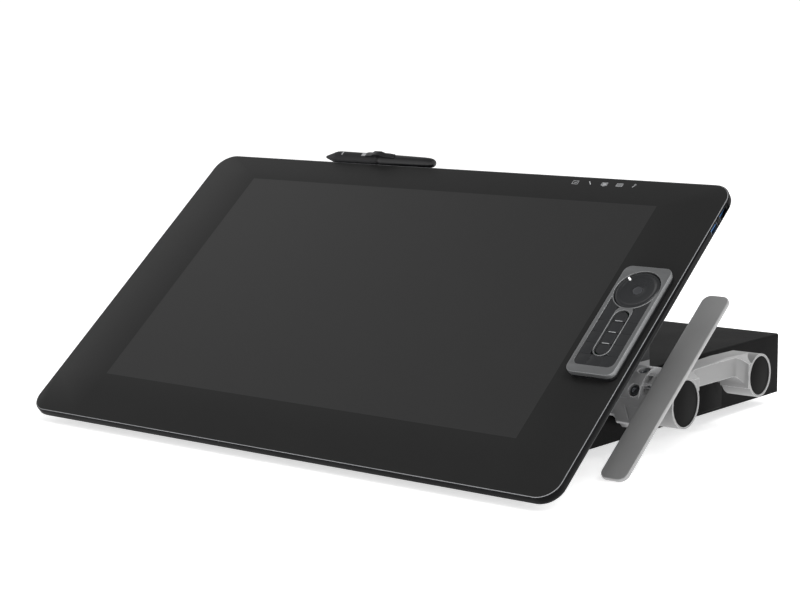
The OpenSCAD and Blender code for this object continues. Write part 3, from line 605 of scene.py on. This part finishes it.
cap = turned_piece("ring_button_cap", [
    (0, button_low.z), (4.9, button_low.z), (4.9, button_high.z - 0.55),
    (4.7, button_high.z - 0.25), (4.2, button_high.z - 0.08), (2.5, button_high.z - 0.02),
    (0, button_high.z)], on_glass(ring_u, ring_v, 0))
settle(cap, "ring_button", button_grey)
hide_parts("ring_button")

LAMP_ANGLE = 139.0
LAMP_REACH = 19.6
lamp_place = on_glass(ring_u, ring_v, 0) @ Matrix.Rotation(math.radians(LAMP_ANGLE), 4, "Z")
lamp = block("ring_lamp", (LAMP_REACH - 2.2, -0.75, case_top - 0.8),
             (LAMP_REACH + 2.0, 0.75, case_top - 0.22), 0.25, lamp_place)
settle(lamp, "touch_ring", lamp_white)

# %% [markdown]
# Three short ridges on the middle column let a thumb count the keys. Each sits on the lower edge
# of its key, so it moves with that key.
# %% Counting ridges
for number in (1, 2, 3):
    node = "key_centre_" + str(number)
    low, high = span(node)
    middle = (low.x + high.x) / 2
    ridge = block("ridge_" + str(number), (middle - 3.9, low.y + 0.4, high.z - 0.3),
                  (middle + 3.9, low.y + 1.2, high.z + 0.12), 0.18, GLASS)
    settle(ridge, node, icon_grey)

# %% [markdown]
# The pen is a soft cone, a long grip and a tapered barrel, all turned. The seam between grip and
# barrel is cut on a slant, so the one turned body is copied and each copy keeps its own side of a
# slanted plane.
# %% Pen
nib_low, nib_high = span("pen_nib")
barrel_high = span("pen_barrel")[1]
pen_length = barrel_high.x - nib_low.x
PEN = GLASS @ Matrix.Translation(Vector((
    nib_low.x, (nib_low.y + nib_high.y) / 2, (nib_low.z + nib_high.z) / 2)) * MM)
PEN = PEN @ Matrix.Rotation(math.radians(90), 4, "Y")
PEN_BODY = [
    (1.15, 14), (1.15, 1.9), (1.5, 1.7), (1.9, 2.6), (2.7, 5), (4.0, 9), (5.4, 13), (6.4, 16),
    (7.0, 18.5), (7.34, 21.5), (7.38, 26), (7.3, 36), (7.15, 50), (7.12, 66), (7.1, 84),
    (6.85, 94), (6.55, 110), (6.3, 125), (6.0, pen_length - 16), (5.75, pen_length - 10),
    (5.3, pen_length - 5.6), (4.5, pen_length - 2.6), (3.4, pen_length - 0.9),
    (2.0, pen_length - 0.15), (0, pen_length)]
SEAM_PLACE = 80.0
SEAM_SLANT = 24.0
for name, node, keep_tip in (("pen_grip_skin", "pen_grip", True),
                             ("pen_barrel_skin", "pen_barrel", False)):
    shrink = 0.0 if keep_tip else 0.12
    profile = [(max(r - shrink, 0), z) for r, z in PEN_BODY]
    skin = turned_piece(name, profile, Matrix.Identity(4), steps=72)
    bpy.ops.object.mode_set(mode="EDIT")
    bpy.ops.mesh.select_all(action="SELECT")
    slant = Matrix.Rotation(math.radians(SEAM_SLANT), 3, "X") @ Vector((0, 0, 1))
    bpy.ops.mesh.bisect(plane_co=Vector((0, 0, SEAM_PLACE + (0 if keep_tip else 0.25))) * MM,
                        plane_no=slant, use_fill=True,
                        clear_outer=keep_tip, clear_inner=not keep_tip)
    bpy.ops.object.mode_set(mode="OBJECT")
    skin.data.transform(PEN)
    settle(skin, node)
    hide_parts(node)
nib = turned_piece("pen_nib_tip", [(0, 0), (0.35, 0.08), (0.62, 0.4), (0.8, 1.0), (1.0, 1.9),
                                   (1.0, 11), (0, 11)], PEN, steps=32)
settle(nib, "pen_nib")
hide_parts("pen_nib")
# On the side that faces up the band and the inlay are short silver arcs, a painted highlight where the pen glints,
# and the inlay ends at the side switch
GLINT_TURN = 196.0
for name, profile, arc in (
        ("pen_band", [(7.1, 27.4), (7.39, 27.5), (7.37, 29.2), (7.1, 29.3)], 40),
        ("pen_inlay", [(6.9, 56), (7.3, 56.2), (7.28, 66.4), (6.9, 66.6)], 36)):
    glint_arc = turned_piece(name, profile, PEN @ Matrix.Rotation(math.radians(GLINT_TURN), 4, "Z"),
                         steps=12, angle=arc)
    settle(glint_arc, "pen_grip", glint_silver)
rounded("pen_side_switch", 0.45, segments=3)

# %% [markdown]
# Each data socket holds a tongue of blue plastic with its contacts on it. Only a sliver of it is
# seen, but the colour is what tells the eye that this is a socket.
# %% Socket tongues
socket_low, socket_high = span("usb_ports")
for number, middle in enumerate((socket_low.y + 6.7, socket_high.y - 6.7)):
    depth = (socket_low.z + socket_high.z) / 2
    tongue = block("socket_tongue_" + str(number + 1),
                   (socket_low.x + 1.2, middle - 5.6, depth - 0.2),
                   (socket_high.x - 1.2, middle + 5.6, depth + 1.5), 0.2, GLASS)
    settle(tongue, "usb_ports", socket_blue)

# %% [markdown]
# Five small signs are printed at the top right of the glass: display, pen, keyboard, menu and
# settings. Print is flat, so each sign is a few thin strips lying on the glass.
# %% Touch signs
SIGN_V = 385.0


def strips(name, u, parts):
    """Thin printed strips at a place on the glass: each is middle, size and turn."""
    bpy.ops.object.select_all(action="DESELECT")
    made = []
    for x, y, w, h, turn in parts:
        bpy.ops.mesh.primitive_cube_add(size=1)
        strip = bpy.context.object
        spot = (Matrix.Translation(Vector((x, y, 0)) * MM)
                @ Matrix.Rotation(math.radians(turn), 4, "Z")
                @ Matrix.Diagonal(Vector((w, h, 0.04, 1 / MM)) * MM))
        strip.data.transform(spot)
        made.append(strip)
    bpy.ops.object.select_all(action="DESELECT")
    for strip in made:
        strip.select_set(True)
    bpy.context.view_layer.objects.active = made[0]
    bpy.ops.object.join()
    sign = bpy.context.object
    sign.name = name
    sign.data.transform(on_glass(u, SIGN_V, 0.015))
    settle(sign, "cover_glass", icon_grey)
    return sign


def outline(w, h, line=0.6):
    """Four strips round a rectangle."""
    return [(0, h / 2, w + line, line, 0), (0, -h / 2, w + line, line, 0),
            (-w / 2, 0, line, h, 0), (w / 2, 0, line, h, 0)]


strips("sign_tablet", 158.0, outline(6.6, 4.4) + [(0, 0, 3.6, 0.6, 0), (1.4, 0.2, 2.6, 0.7, 50)])
strips("sign_pen", 175.5, [(0.2, 0.1, 4.6, 1.1, -52), (-1.6, 2.2, 1.0, 1.0, 0)])
strips("sign_monitor", 193.0, outline(6.4, 3.8) + [(0, 0, 4.6, 2.2, 0), (0, -2.7, 3.0, 0.6, 0)])
strips("sign_keyboard", 210.8, outline(6.8, 3.6) + [
    (x, y, 0.9, 0.7, 0) for x in (-2.1, -0.7, 0.7, 2.1) for y in (0.7, -0.7)])
strips("sign_settings", 227.5, [(0, -0.6, 3.6, 0.9, 55), (1.0, 1.6, 2.4, 0.8, 0),
                                (1.0, 1.6, 0.8, 2.6, 0)])

# %% [markdown]
# The studio floor is one very large pale sheet, so that its far edge melts into the white room.
# %% Floor
bpy.ops.object.select_all(action="DESELECT")
bpy.ops.mesh.primitive_plane_add(size=60, location=(0, 0, 0))
floor = bpy.context.object
floor.name = "floor"
floor_paint = bpy.data.materials.new("floor_paint")
floor_paint.use_nodes = True
floor_shader = floor_paint.node_tree.nodes["Principled BSDF"]
floor_shader.inputs["Base Color"].default_value = (0.95, 0.95, 0.95, 1)
floor_shader.inputs["Roughness"].default_value = 1.0
floor_shader.inputs["Specular IOR Level"].default_value = 0.0
floor_shader.inputs["Emission Color"].default_value = (1, 1, 1, 1)
floor_shader.inputs["Emission Strength"].default_value = 0.62
floor.data.materials.append(floor_paint)
